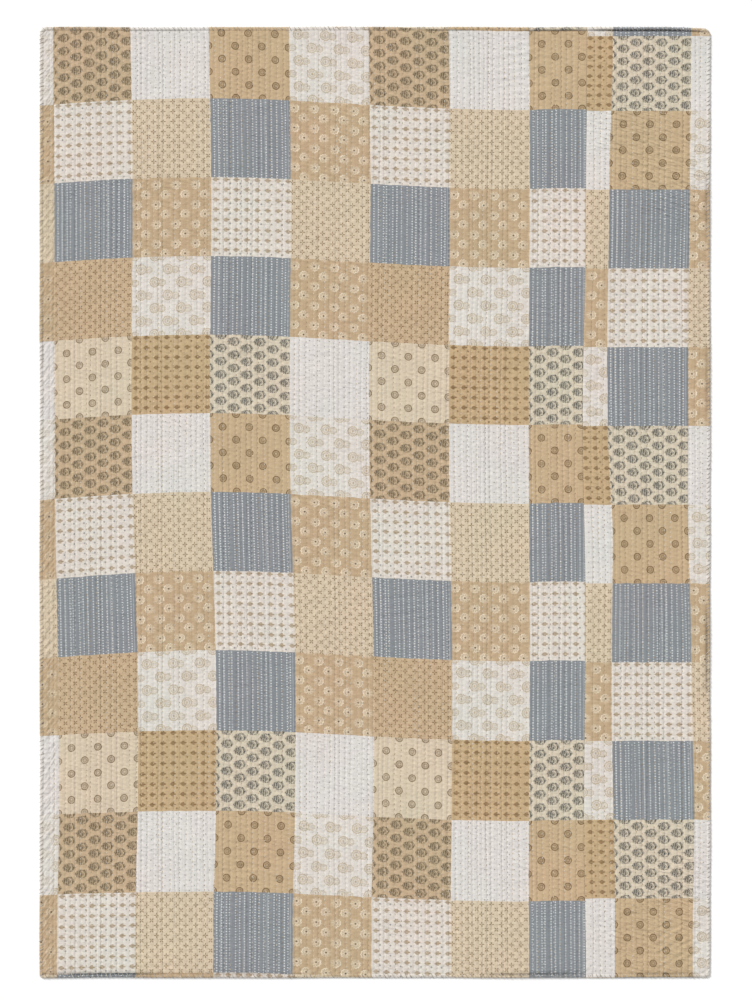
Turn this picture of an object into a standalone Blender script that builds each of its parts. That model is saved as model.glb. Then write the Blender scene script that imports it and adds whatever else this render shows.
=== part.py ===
"""A quilted cotton throw, lying flat and face up.

Two lengths of quilted cloth are joined side by side by one lengthwise seam. The outer edges are
turned under twice and overcast, so they stand a little proud of the field as a soft rounded roll.

Metres, +Z up. +Y runs along the throw's length and +X across its width. The origin is under the
middle of the throw, on the surface that it lies on.
"""

import math

import bpy

# Driving dimensions
THROW_WIDTH = 1.270
THROW_LENGTH = 1.800
CLOTH = 0.0029            # all the layers of cotton, stitched together
ROLL = 0.0044             # height of the turned edge
GAP = 0.0003              # between the two panels at the seam
CELL = 0.0375             # spacing of the mesh lines over the field, a quarter of a printed square

# Height of the cloth at each distance in from an outer edge, which is turned under twice
TURNED_EDGE = (
    # inset, height
    (0.0000, 0.0018),
    (0.0012, 0.0036),
    (0.0035, ROLL),
    (0.0070, 0.0026),
    (0.0140, CLOTH),
)

# The same beside the seam, where each panel's raw edge is folded down to meet the other's
SEAM_EDGE = (
    # inset, height
    (0.0000, 0.0016),
    (0.0015, 0.0026),
    (0.0045, 0.0032),
    (0.0120, CLOTH),
)

# Where the hand-sewn seam runs, from the foot of the throw to its head
SEAM_LINE = (
    # share of the length, x
    (0.00, 0.3990),
    (0.17, 0.3955),
    (0.38, 0.3985),
    (0.59, 0.3930),
    (0.80, 0.3990),
    (1.00, 0.4015),
)

# How each outer edge wanders inwards from a straight line: two slow waves along it
EDGE_WAVES = {
    # edge: (depth, wavelength, phase) of each wave
    "left": ((0.0007, 0.61, 0.4), (0.0005, 0.23, 2.1)),
    "right": ((0.0009, 0.74, 3.6), (0.0005, 0.19, 0.9)),
    "foot": ((0.0007, 0.52, 1.3), (0.0005, 0.21, 4.0)),
    "head": ((0.0008, 0.66, 5.2), (0.0005, 0.24, 0.2)),
}

# Each corner: the radius it is turned to, and how far its head or foot edge falls away, over what reach
CORNERS = {
    # (side, end): (radius, fall, reach)
    ("left", "head"): (0.012, 0.0000, 0.040),
    ("right", "head"): (0.014, 0.0034, 0.050),
    ("left", "foot"): (0.006, -0.0006, 0.040),
    ("right", "foot"): (0.007, 0.0006, 0.040),
}

# The slow rise and fall of the stitched field, as crossed waves
PUFFS = (
    # height, wavelength across, its phase, wavelength along, its phase
    (0.00036, 0.31, 0.7, 0.43, 1.9),
    (0.00024, 0.17, 2.3, 0.26, 2.2),
)

COTTON_COLOUR = (0.52, 0.45, 0.36, 1.0)
COTTON_ROUGHNESS = 0.92
PANELS = ("panel_main", "panel_side")


def clear_scene():
    """Removes the objects of the file that this script runs in."""
    for thing in list(bpy.data.objects):
        bpy.data.objects.remove(thing, do_unlink=True)


def new_collection(name):
    """A collection for the throw, linked to the scene."""
    collection = bpy.data.collections.new(name)
    bpy.context.scene.collection.children.link(collection)
    return collection


def cotton(name):
    """Washed, block-printed cotton: its average colour."""
    material = bpy.data.materials.new(name)
    material.use_nodes = True
    shader = material.node_tree.nodes["Principled BSDF"]
    shader.inputs["Base Color"].default_value = COTTON_COLOUR
    shader.inputs["Roughness"].default_value = COTTON_ROUGHNESS
    shader.inputs["Metallic"].default_value = 0.0
    return material


def eased(table, at):
    """The value of a two-column table at a point, eased from row to row."""
    if at <= table[0][0]:
        return table[0][1]
    for (low, before), (high, after) in zip(table, table[1:]):
        if at <= high:
            share = (at - low) / (high - low)
            return before + (after - before) * (1 - math.cos(math.pi * share)) / 2
    return table[-1][1]


def straight(table, at):
    """The value of a two-column table at a point, in a straight line from row to row."""
    for (low, before), (high, after) in zip(table, table[1:]):
        if at <= high:
            return before + (after - before) * (at - low) / (high - low)
    return table[-1][1]


def wander(edge, along):
    """How far an outer edge lies inside its straight line, at a place along it."""
    return sum(depth * (1 + math.sin(math.tau * along / length + phase)) / 2
               for depth, length, phase in EDGE_WAVES[edge])


def corner_fall(end, x):
    """How far a head or foot edge falls away towards the corner it is nearer to."""
    _, depth, reach = CORNERS[("right" if x > 0 else "left", end)]
    away = THROW_WIDTH / 2 - abs(x)
    return depth * math.exp(-(away / reach) ** 2)


def seam_x(y):
    """Where the seam lies across the throw, at a place along it."""
    return eased(SEAM_LINE, y / THROW_LENGTH + 0.5)


def side_x(edge, y):
    """The left or right edge of the throw, at a place along it."""
    inside = THROW_WIDTH / 2 - wander(edge, y)
    return inside if edge == "right" else -inside


def end_y(end, x):
    """The head or foot edge of the throw, at a place across it."""
    inside = THROW_LENGTH / 2 - wander(end, x) - corner_fall(end, x)
    return inside if end == "head" else -inside


def mesh_lines(span, low_table, high_table):
    """Distances from the low side of a span: close together at its edges, and a cell apart between them."""
    low_insets = [row[0] for row in low_table]
    high_insets = [row[0] for row in high_table]
    start = low_insets[-1]
    stop = span - high_insets[-1]
    cells = round((stop - start) / CELL)
    field = [start + (stop - start) * step / cells for step in range(1, cells)]
    return low_insets + field + [span - inset for inset in reversed(high_insets)]


def rounded(across, along, radius):
    """Distances from two edges that meet at a corner, drawn in so that the corner is an arc."""
    across_left = radius - across
    along_left = radius - along
    if across_left <= 0 or along_left <= 0:
        return across, along
    shrink = max(across_left, along_left) / math.hypot(across_left, along_left)
    return radius - across_left * shrink, radius - along_left * shrink


def puff(x, y):
    """The slow rise and fall of the stitched field."""
    return sum(height * math.sin(math.tau * x / across + x_phase) * math.sin(math.tau * y / along + y_phase)
               for height, across, x_phase, along, y_phase in PUFFS)


def edge_sides(panel):
    """The table of each long side of a panel, left then right: one is a turned edge, the other the seam."""
    if panel == "panel_main":
        return TURNED_EDGE, SEAM_EDGE
    return SEAM_EDGE, TURNED_EDGE


def panel_limits(panel, y):
    """The left and right limits of a panel at a place along it."""
    if panel == "panel_main":
        return side_x("left", y), seam_x(y) - GAP / 2
    return seam_x(y) + GAP / 2, side_x("right", y)


def outer_radius(panel, end):
    """The radius of a panel's outer corner at its head or foot, and 0 for no corner at the seam."""
    side = "left" if panel == "panel_main" else "right"
    return CORNERS[(side, end)][0]


def cloth_height(from_outer, from_end, from_seam):
    """The cloth's height by its distance from its outer side, its head or foot, and the seam."""
    turned = straight(TURNED_EDGE, min(from_outer, from_end))
    if from_seam > SEAM_EDGE[-1][0]:
        return turned
    return min(turned, straight(SEAM_EDGE, from_seam))


def place(panel, across_share, along_share):
    """A mesh point of a panel: its x, its y, and the cloth's height there."""
    nominal_y = THROW_LENGTH * (along_share - 0.5)
    left, right = panel_limits(panel, nominal_y)
    outer_is_left = panel == "panel_main"
    end = "head" if along_share > 0.5 else "foot"
    across = (right - left) * across_share
    from_outer = across if outer_is_left else right - left - across
    from_seam = right - left - from_outer
    from_end = THROW_LENGTH * min(along_share, 1 - along_share)
    height = cloth_height(from_outer, from_end, from_seam)
    from_outer, from_end = rounded(from_outer, from_end, outer_radius(panel, end))
    x = left + from_outer if outer_is_left else right - from_outer
    y = end_y(end, x) + (from_end if end == "foot" else -from_end)
    if min(from_outer, from_end, from_seam) > TURNED_EDGE[-1][0]:
        height += puff(x, y)
    return x, y, height


def add_panel(name, collection):
    """One quilted panel: a flat grid shaped to its outline, then given its thickness from a vertex group."""
    low_table, high_table = edge_sides(name)
    left, right = panel_limits(name, 0.0)
    columns = mesh_lines(right - left, low_table, high_table)
    rows = mesh_lines(THROW_LENGTH, TURNED_EDGE, TURNED_EDGE)
    bpy.ops.mesh.primitive_grid_add(x_subdivisions=len(columns) - 1, y_subdivisions=len(rows) - 1, size=1)
    panel = bpy.context.object
    panel.name = name
    panel.data.name = name
    heights = panel.vertex_groups.new(name="height")
    for vertex in panel.data.vertices:
        column = round((vertex.co.x + 0.5) * (len(columns) - 1))
        row = round((vertex.co.y + 0.5) * (len(rows) - 1))
        across_share = columns[column] / columns[-1]
        along_share = rows[row] / rows[-1]
        x, y, lift = place(name, across_share, along_share)
        vertex.co = (x, y, 0.0)
        heights.add([vertex.index], lift / ROLL, "REPLACE")
    thickness = panel.modifiers.new("thickness", "SOLIDIFY")
    thickness.thickness = ROLL
    thickness.offset = 1.0
    thickness.vertex_group = heights.name
    panel.data.materials.append(cotton(name + "_cotton"))
    for owner in list(panel.users_collection):
        owner.objects.unlink(panel)
    collection.objects.link(panel)
    return panel


def build():
    """The whole throw."""
    clear_scene()
    collection = new_collection("kantha_quilt")
    for name in PANELS:
        add_panel(name, collection)


build()
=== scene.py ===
"""The finish of a hand-stitched cotton throw, lying flat and face up.

Two sheets of block-printed cotton lie on the frame's two panels. Rows of running stitch cross them
from foot to head, and a slanting overcast stitch holds their turned edges.

Metres, +Z up. +Y runs along the throw's length and +X across its width.
"""

import math

import bpy
import numpy as np
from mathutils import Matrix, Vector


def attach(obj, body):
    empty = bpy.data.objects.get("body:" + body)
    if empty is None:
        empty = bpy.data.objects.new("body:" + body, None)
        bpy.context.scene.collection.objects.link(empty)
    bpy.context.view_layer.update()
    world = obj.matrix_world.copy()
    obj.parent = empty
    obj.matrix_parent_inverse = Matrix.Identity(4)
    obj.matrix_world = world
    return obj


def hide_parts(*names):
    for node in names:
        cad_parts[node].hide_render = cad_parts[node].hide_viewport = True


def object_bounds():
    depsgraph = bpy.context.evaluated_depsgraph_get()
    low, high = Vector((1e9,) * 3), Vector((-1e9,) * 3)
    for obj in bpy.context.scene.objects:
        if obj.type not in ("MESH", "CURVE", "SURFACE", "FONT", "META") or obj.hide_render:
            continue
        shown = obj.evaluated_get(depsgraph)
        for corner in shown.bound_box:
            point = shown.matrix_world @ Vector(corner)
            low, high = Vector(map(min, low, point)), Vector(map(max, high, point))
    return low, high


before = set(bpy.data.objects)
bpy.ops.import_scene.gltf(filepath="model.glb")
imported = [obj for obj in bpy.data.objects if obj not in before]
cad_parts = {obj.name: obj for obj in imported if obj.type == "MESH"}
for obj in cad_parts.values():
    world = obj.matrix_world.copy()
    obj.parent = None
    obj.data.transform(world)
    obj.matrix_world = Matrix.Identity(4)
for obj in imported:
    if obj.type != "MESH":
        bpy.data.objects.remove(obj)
CAD_LOW, CAD_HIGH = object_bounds()

# The throw's own shape, as the frame's panels have it
THROW_WIDTH = 1.270
THROW_LENGTH = 1.800
CLOTH = 0.0029
ROLL = 0.0044
GAP = 0.00006

SEAM_LINE = (
    # share of the length from the foot, x
    (0.00, 0.3990),
    (0.17, 0.3955),
    (0.38, 0.3985),
    (0.59, 0.3930),
    (0.80, 0.3990),
    (1.00, 0.4015),
)

EDGE_WAVES = {
    # edge: (depth, wavelength, phase) of each wave
    "left": ((0.0007, 0.61, 0.4), (0.0005, 0.23, 2.1)),
    "right": ((0.0009, 0.74, 3.6), (0.0005, 0.19, 0.9)),
    "foot": ((0.0007, 0.52, 1.3), (0.0005, 0.21, 4.0)),
    "head": ((0.0008, 0.66, 5.2), (0.0005, 0.24, 0.2)),
}

CORNERS = {
    # (side, end): (radius, fall, reach)
    ("left", "head"): (0.012, 0.0000, 0.040),
    ("right", "head"): (0.014, 0.0034, 0.050),
    ("left", "foot"): (0.006, -0.0006, 0.040),
    ("right", "foot"): (0.007, 0.0006, 0.040),
}

PUFFS = (
    # height, wavelength across, its phase, wavelength along, its phase
    (0.00036, 0.31, 0.7, 0.43, 1.9),
    (0.00024, 0.17, 2.3, 0.26, 2.2),
)

# The turned edge, rounded, and the gentler fold beside the seam
TURNED_EDGE = (
    # inset, height
    (0.0000, 0.0017),
    (0.0007, 0.0030),
    (0.0019, 0.0040),
    (0.0034, ROLL),
    (0.0048, 0.0041),
    (0.0059, 0.0033),
    (0.0068, 0.0024),
    (0.0078, 0.0025),
    (0.0100, 0.0028),
    (0.0140, CLOTH),
)
SEAM_EDGE = (
    # inset, height
    (0.0000, 0.0024),
    (0.0010, 0.0027),
    (0.0024, 0.0029),
    (0.0045, 0.0030),
    (0.0080, 0.0030),
    (0.0120, CLOTH),
)
CREASE_INSET = 0.0070     # the crease inside the roll
CREASE_REACH = 0.0013
SLACK_ROLL = 0.35         # how full the roll is where no crease draws it up
TUCK = 0.0016             # the depth of crease whose bottom takes the full painted shade, quite dark
SHADE_OFFSET = 0.0008     # how much nearer the edge the crease's painted shade lies than its bottom
SHADE_SPREAD = 1.3        # and how much wider it is
FIELD_START = 0.6         # where swells and furrows begin, as a share of the turned edge's width
THINNEST = 0.0006         # the top never lies lower than this
UNDER = 0.0010            # how far the underside is drawn in below the rounded edge

# Where the roll pulls tight and its crease is deep
CREASES = (
    # edge, middle, half length, depth
    ("head", 0.510, 0.105, 0.0018),
    ("head", 0.340, 0.060, 0.0009),
    ("head", 0.150, 0.040, 0.0005),
    ("head", -0.400, 0.060, 0.0004),
    ("foot", -0.510, 0.110, 0.0017),
    ("foot", -0.250, 0.120, 0.0007),
    ("foot", 0.300, 0.090, 0.0014),
    ("foot", 0.540, 0.060, 0.0010),
    ("right", 0.230, 0.070, 0.0008),
    ("right", -0.280, 0.085, 0.0015),
    ("right", 0.560, 0.060, 0.0010),
    ("left", 0.300, 0.050, 0.0003),
)

# Rows of running stitch
ROW_PITCH = 0.0106
ROW_UNEVEN = 0.30         # how far a row's distance from the next may differ, as a share of the pitch
ROW_SWAY = 0.0011
SWAY_LENGTHS = (0.12, 0.45)
STITCH_PITCH = 0.0095
STITCH_LENGTH = 0.0042
STITCH_WIDTH = 0.00125
STITCH_HEIGHT = 0.0007
ROW_SLIP = 0.377          # how much further along each row starts than the one before, in stitches
TROUGH = 0.00062          # how deep a row sinks
TROUGH_STEPS = ((0.0, 1.0), (0.5, 0.0))   # share of the way to the next row, share of the depth
CELL_LONG = {"panel_main": 0.0040, "panel_side": 0.0030}  # spacing of the mesh lines along the throw
FIRST_ROW = 0.0195        # the first row of stitches from an outer edge
LAST_ROW = 0.0150         # and the last one from the seam
ROW_END = 0.0090          # a row stops this far from the head and the foot
STITCH_SLIP = 0.0009      # how far a stitch may lie from its even place
AHEAD = 0.002             # how far ahead a stitch looks for its heading

# Soft ripples in the field, worst where two rows are drawn up together
CRINKLE = (
    # height, size across, size along, seed
    (0.00040, 0.034, 0.013, 11),
    (0.00022, 0.016, 0.017, 12),
)
RIPPLED = (
    # x, y, reach across, reach along, height, wavelength, slant
    (0.525, 0.665, 0.075, 0.080, 0.00062, 0.0150, 0.25),
    (0.280, 0.820, 0.060, 0.065, 0.00070, 0.0150, -0.10),
    (0.480, -0.810, 0.060, 0.070, 0.00100, 0.0140, 0.75),
    (0.580, -0.840, 0.050, 0.060, 0.00095, 0.0150, -0.60),
    (-0.245, -0.670, 0.070, 0.065, 0.00060, 0.0155, 0.10),
    (0.060, -0.210, 0.060, 0.070, 0.00042, 0.0170, -0.15),
    (0.290, 0.330, 0.060, 0.060, 0.00048, 0.0160, 0.20),
    (0.620, -0.200, 0.020, 0.300, 0.00040, 0.0160, 0.50),
)

RIPPLE_BEND = 0.006       # how far a ripple bends out of line
RIPPLE_BEND_SIZE = (0.045, 0.060)

# The finest ripples, which the cotton's material makes with bumps and with painted light and shade: where
# they are strongest
RIPPLE_SPOTS = (
    # x, y
    (0.52, -0.82),
    (0.60, -0.74),
    (0.50, 0.68),
    (0.57, 0.61),
)
RIPPLE_REACH = 0.085
RIPPLE_ANGLE = 0.35

# Short slanting folds that the overcasting draws in beside the outer edges
DRAWN_HEIGHT = 0.00070
DRAWN_SLANT = 1.2         # how far a fold runs along the edge for each metre inwards
DRAWN_UNEVEN = 0.40       # how far its height may differ from the usual one, as a share of the highest
DRAWN_STRETCH = 0.045     # the length of edge over which the folds grow and fade
DRAWN_DRIFT = 0.004       # how far a fold strays from its even place
DRAWN_DRIFT_SIZE = 0.030
DRAWN_LENGTH = 0.0170     # from one fold to the next
DRAWN_INSET = 0.0140      # where they are highest
DRAWN_REACH = 0.0095
DRAWN_SHADE = 0.22        # how dark the painted shade in their hollows is, as a share of a full crease's

# The outer strip on the left, with the finest of those folds in its material as bumps and as painted light
# and shade, and its ink washed pale
LEFT_STRIP = 0.602        # how far from the middle it begins
LEFT_ANGLE = -0.95
WASHED_FROM = 0.607
WASHED_INK = 0.45         # the share of the ink that is left

# The printed repeat: four squares across and five down
REPEAT = (
    "ABCH",
    "DEFG",
    "FGDE",
    "IHFG",
    "JKLB",
)
SQUARE_WIDE = 0.1507
SQUARE_LONG = 0.1501
FIRST_COLUMN = -0.6105    # x of the first column line at the head
FIRST_ROW_LINE = 0.7645   # y of the first row line, between the second and third column
BOW = 0.0058              # how far the row lines rise at mid-length
LEAN_DOWN = (
    # share of the length from the head, how far the column lines lean to the right
    (0.00, 0.0000),
    (0.45, 0.0043),
    (0.83, 0.0150),
    (0.96, 0.0104),
    (1.00, 0.0090),
)
LEAN_ACROSS = (
    # x, share of the lean
    (-0.61, 0.75),
    (-0.45, 1.00),
    (-0.16, 0.85),
    (0.00, 0.66),
    (0.15, 0.40),
    (0.29, 0.00),
)
COLUMN_SHIFTS = (
    # x, how far the column lines lie to the right of their even places
    (-0.61, 0.0022),
    (-0.46, -0.0026),
    (-0.31, -0.0044),
    (-0.01, -0.0040),
    (0.14, -0.0032),
    (0.29, -0.0017),
)
COLUMN_SWAY = 0.0024      # how far the column lines swing from side to side, twice in the length
SWAY_START = 0.15         # where they swing furthest to the right, as a share of the length
SWAY_ACROSS = (
    # x, share of the swing
    (-0.61, 0.3),
    (-0.46, 1.0),
    (0.00, 1.0),
    (0.29, 0.4),
)
ROW_CREST = -0.31         # x where the row lines are highest, from where they drop to both sides
LEFT_DROP = 0.0142
LEFT_REACH = 0.325        # how far from the crest the left drop is reached
RIGHT_DROP = 0.0243
RIGHT_REACH = 0.35
DROPS_AT_FOOT = (0.35, 0.78)   # the share of the left and the right drop that is left at the foot
SAG = 0.0052              # how much lower the row lines lie at one place on the left
SAG_PLACE = 0.62          # the share of the length from the head where it is
SAG_REACH = 0.12
SAG_ACROSS = ((-0.60, 1.0), (-0.35, 0.0))   # x, share of the sag
SEAM_RISE = 0.0026        # how much higher the row lines lie beside the seam
SEAM_RISE_ACROSS = ((0.27, 0.0), (0.34, 1.0))   # x, share of the rise
BOWED_ROWS = 10           # how many squares long the bow is
ROW_SWING = 0.0018        # how much lower the row lines lie in the upper half, and higher in the lower
SIDE_FIRST_ROW_LINE = 0.7406
SIDE_SQUARE_LONG = 0.1490
SIDE_TOP_ROW = 0.95       # the first row of the side panel is shorter by this much
SIDE_LEFT_LINE = (
    # share of the length from the head, x
    (0.01, 0.4505),
    (0.17, 0.4437),
    (0.34, 0.4392),
    (0.42, 0.4407),
    (0.54, 0.4497),
    (0.70, 0.4480),
    (0.95, 0.4543),
)
SIDE_RIGHT_LINE = (
    # share of the length from the head, x
    (0.01, 0.5982),
    (0.17, 0.5960),
    (0.30, 0.5925),
    (0.50, 0.5922),
    (0.66, 0.5982),
    (0.84, 0.6040),
    (0.96, 0.6010),
)

# Each print: its motif, its ground, its ink and its second ink, as sRGB values from 0 to 255
PRINTS = {
    # print: (motif, ground, ink, second ink)
    "A": ("bunch", (195, 172, 141), (94, 84, 64), (94, 84, 64)),
    "B": ("pins", (219, 215, 211), (142, 138, 130), (142, 138, 130)),
    "C": ("ring", (196, 172, 138), (106, 82, 50), (106, 82, 50)),
    "D": ("bud", (220, 213, 204), (158, 136, 104), (128, 132, 132)),
    "E": ("cross", (212, 196, 171), (134, 112, 80), (134, 112, 80)),
    "F": ("lines", (135, 140, 145), (220, 223, 222), (120, 124, 128)),
    "G": ("daisy", (190, 166, 134), (236, 225, 204), (92, 74, 56)),
    "H": ("flower", (219, 214, 207), (184, 166, 136), (150, 134, 112)),
    "I": ("cross", (197, 173, 141), (128, 101, 68), (128, 101, 68)),
    "J": ("ring", (213, 198, 175), (116, 92, 60), (116, 92, 60)),
    "K": ("bud", (194, 169, 132), (126, 98, 62), (132, 104, 68)),
    "L": ("bunch", (211, 200, 179), (60, 66, 67), (60, 66, 67)),
}
MM = 1000.0
BORDER_WAVER = 0.016      # how far a border strays, as a share of a square
MOTIF_WAVER = 1.3         # and how far a motif's outline does, in millimetres

# The cotton's tone
COTTON_TONE = 0.633       # before its threads and the painted light and shade of its folds lighten it
CREASE_SHADE = 0.62       # how much darker the painted shade makes the bottom of a deep crease
TINTS = ((1.0, 0.962, 0.955, 1.0), (0.968, 0.984, 0.970, 1.0))   # what age has done to it in patches

# Thread: how much of the sewing it does, and its tone from 0, pale, to 1, brown
THREADS = (
    # share of the rows, tone
    (0.42, 0.05),
    (0.25, 0.50),
    (0.33, 1.00),
)

OVERCAST_PITCH = 0.0082
OVERCAST_RADIUS = 0.00050
OVERCAST_SLANT = 0.0046
OVERCAST_RISE = 0.0006    # how far the stitch's middle stands above the roll
OVERCAST_SLIP = 0.0008    # how far a stitch may lie from its even place
OVERCAST_PATH = (
    # inset, height
    (0.0074, 0.0016),
    (0.0063, 0.0034),
    (0.0046, 0.0046),
    (0.0026, 0.0047),
    (0.0008, 0.0037),
    (-0.0004, 0.0023),
    (-0.0002, 0.0008),
)
SEAM_STITCH_PITCH = 0.0064
SEAM_STITCH_TURN = 1.15
SEED = 20

# Where the top and the underside lie on the baked picture, as shares of it
BAKE_EDGE = 0.005
BAKE_WHOLE = 0.99
TOP_WIDE = 0.79
UNDER_START = 0.81
UNDER_WIDE = 0.185


def srgb(red, green, blue):
    """A colour given as sRGB values from 0 to 255, as the linear values that a shader takes."""
    channels = [value / 255 for value in (red, green, blue)]
    return tuple(c / 12.92 if c < 0.04045 else ((c + 0.055) / 1.055) ** 2.4 for c in channels) + (1.0,)


# ---------------------------------------------------------------- the lie of the cloth

def columns_of(table):
    """The columns of a short table, as arrays."""
    return [np.array(column) for column in zip(*table)]


def eased(table, at):
    """The value of a two-column table at each place, eased from row to row."""
    places, values = columns_of(table)
    at = np.clip(at, places[0], places[-1])
    step = np.clip(np.searchsorted(places, at, side="right") - 1, 0, len(places) - 2)
    share = (at - places[step]) / (places[step + 1] - places[step])
    return values[step] + (values[step + 1] - values[step]) * (1 - np.cos(np.pi * share)) / 2


def straight(table, at):
    """The value of a two-column table at each place, in a straight line from row to row."""
    places, values = columns_of(table)
    return np.interp(at, places, values)


def wander(edge, along):
    """How far an outer edge lies inside its straight line, at places along it."""
    return sum(depth * (1 + np.sin(math.tau * along / length + phase)) / 2
               for depth, length, phase in EDGE_WAVES[edge])


def corner_fall(end, x):
    """How far a head or foot edge falls away towards the corner it is nearer to."""
    away = THROW_WIDTH / 2 - np.abs(x)
    fall = 0.0
    for side, here in (("left", x < 0), ("right", x >= 0)):
        _, depth, reach = CORNERS[(side, end)]
        fall = fall + here * depth * np.exp(-(away / reach) ** 2)
    return fall


def panel_limits(name, y):
    """The left and right limits of a panel at places along it."""
    seam = eased(SEAM_LINE, y / THROW_LENGTH + 0.5)
    if name == "panel_main":
        return wander("left", y) - THROW_WIDTH / 2, seam - GAP / 2
    return seam + GAP / 2, THROW_WIDTH / 2 - wander("right", y)


def end_y(end, x):
    """The head or foot edge of the throw, at places across it."""
    inside = THROW_LENGTH / 2 - wander(end, x) - corner_fall(end, x)
    return inside if end == "head" else -inside


def rounded(across, along, radius):
    """Distances from two edges that meet at a corner, drawn in so that the corner is an arc."""
    across_left = radius - across
    along_left = radius - along
    inside = (across_left > 0) & (along_left > 0)
    longest = np.maximum(np.maximum(across_left, along_left), 1e-9)
    shrink = np.where(inside, longest / np.maximum(np.hypot(across_left, along_left), 1e-9), 1.0)
    return radius - across_left * shrink, radius - along_left * shrink


def soft_noise(x, y, across, along, seed):
    """Smooth uneven values between -1 and 1, with a new one about every `across` by `along` metres."""
    steps_x, steps_y = x / across + 200, y / along + 200
    values = np.random.default_rng(seed).uniform(-1, 1, (400, 400))
    low_x, low_y = np.floor(steps_x).astype(int), np.floor(steps_y).astype(int)
    part_x, part_y = steps_x - low_x, steps_y - low_y
    part_x, part_y = part_x ** 2 * (3 - 2 * part_x), part_y ** 2 * (3 - 2 * part_y)
    near = values[low_x, low_y] * (1 - part_x) + values[low_x + 1, low_y] * part_x
    far = values[low_x, low_y + 1] * (1 - part_x) + values[low_x + 1, low_y + 1] * part_x
    return near * (1 - part_y) + far * part_y


def field_lift(x, y):
    """The slow rise and fall of the field with its ripples and crinkles."""
    lift = sum(height * np.sin(math.tau * x / across + x_phase) * np.sin(math.tau * y / along + y_phase)
               for height, across, x_phase, along, y_phase in PUFFS)
    for height, across, along, seed in CRINKLE:
        lift = lift + height * soft_noise(x, y, across, along, seed)
    bend = RIPPLE_BEND * soft_noise(x, y, *RIPPLE_BEND_SIZE, 13)
    for middle_x, middle_y, reach_x, reach_y, height, length, slant in RIPPLED:
        away = ((x - middle_x) / reach_x) ** 2 + ((y - middle_y) / reach_y) ** 2
        wave = np.sin(math.tau * (y - middle_y + slant * (x - middle_x) + bend) / length)
        lift = lift + height * np.exp(-away ** 2) * wave
    return lift


def drawn_folds(inset, along, seed):
    """The height of the slanting folds beside an outer edge, and the painted shade in their hollows."""
    strength = 1 - DRAWN_UNEVEN + DRAWN_UNEVEN * soft_noise(along, along * 0.0, DRAWN_STRETCH, 1.0, seed)
    drift = DRAWN_DRIFT * soft_noise(along, inset, DRAWN_DRIFT_SIZE, DRAWN_DRIFT_SIZE, seed + 1)
    place = along - inset * DRAWN_SLANT + drift
    band = np.exp(-((inset - DRAWN_INSET) / DRAWN_REACH) ** 2)
    wave = strength * band * np.sin(math.tau * place / DRAWN_LENGTH)
    return DRAWN_HEIGHT * wave, DRAWN_SHADE * np.clip(-wave, 0, None)


def crease_depth(edge, along):
    """How deep the crease inside the roll is, at places along an outer edge."""
    depth = 0.0
    for name, middle, half, most in CREASES:
        if name == edge:
            depth = depth + most * np.exp(-((along - middle) / half) ** 4)
    return depth


def plan_panel(name, seed):
    """A panel's guide lines, which its rows of stitches follow, and the lines of its mesh."""
    left, right = panel_limits(name, 0.0)
    width = float(right - left)
    outer_first = name == "panel_main"
    low, high = (TURNED_EDGE, SEAM_EDGE) if outer_first else (SEAM_EDGE, TURNED_EDGE)
    low_start, high_start = (FIRST_ROW, LAST_ROW) if outer_first else (LAST_ROW, FIRST_ROW)
    random = np.random.default_rng(seed)
    between = width - low_start - high_start
    count = round(between / ROW_PITCH) + 1
    steps = 1 + ROW_UNEVEN * random.uniform(-1, 1, count - 1)
    places = low_start + np.concatenate([[0], np.cumsum(steps)]) / steps.sum() * between
    guides = np.concatenate([columns_of(low)[0], places, width - columns_of(high)[0][::-1]])
    first = len(low)
    sway = np.zeros(len(guides))
    sway[first:first + count] = ROW_SWAY * random.uniform(0.3, 1, count)
    columns = [float(guide) for guide in range(first)]
    for guide in range(first, first + count - 1):
        columns += [guide + share for share, _ in TROUGH_STEPS]
    columns += [float(guide) for guide in range(first + count - 1, len(guides))]
    insets = columns_of(TURNED_EDGE)[0]
    cells = round((THROW_LENGTH - 2 * insets[-1]) / CELL_LONG[name])
    field = np.linspace(insets[-1], THROW_LENGTH - insets[-1], cells + 1)[1:-1]
    return {
        "name": name,
        "outer": "left" if outer_first else "right",
        "width": width,
        "guides": guides,
        "first": first,
        "count": count,
        "sway": sway,
        "sway_length": random.uniform(*SWAY_LENGTHS, len(guides)),
        "sway_phase": random.uniform(0, math.tau, len(guides)),
        "columns": np.array(columns),
        "rows": np.concatenate([insets, field, THROW_LENGTH - insets[::-1]]),
    }


def sunk(panel, guide):
    """How far each place has sunk towards the nearest row of stitches: 1 in the row, 0 half-way between."""
    shares = [share for share, _ in TROUGH_STEPS] + [1.0]
    depths = [depth for _, depth in TROUGH_STEPS] + [1.0]
    inside = (guide >= panel["first"] - 0.001) & (guide <= panel["first"] + panel["count"] - 0.999)
    return np.where(inside, np.interp(guide % 1.0, shares, depths), 0.0)


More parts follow.
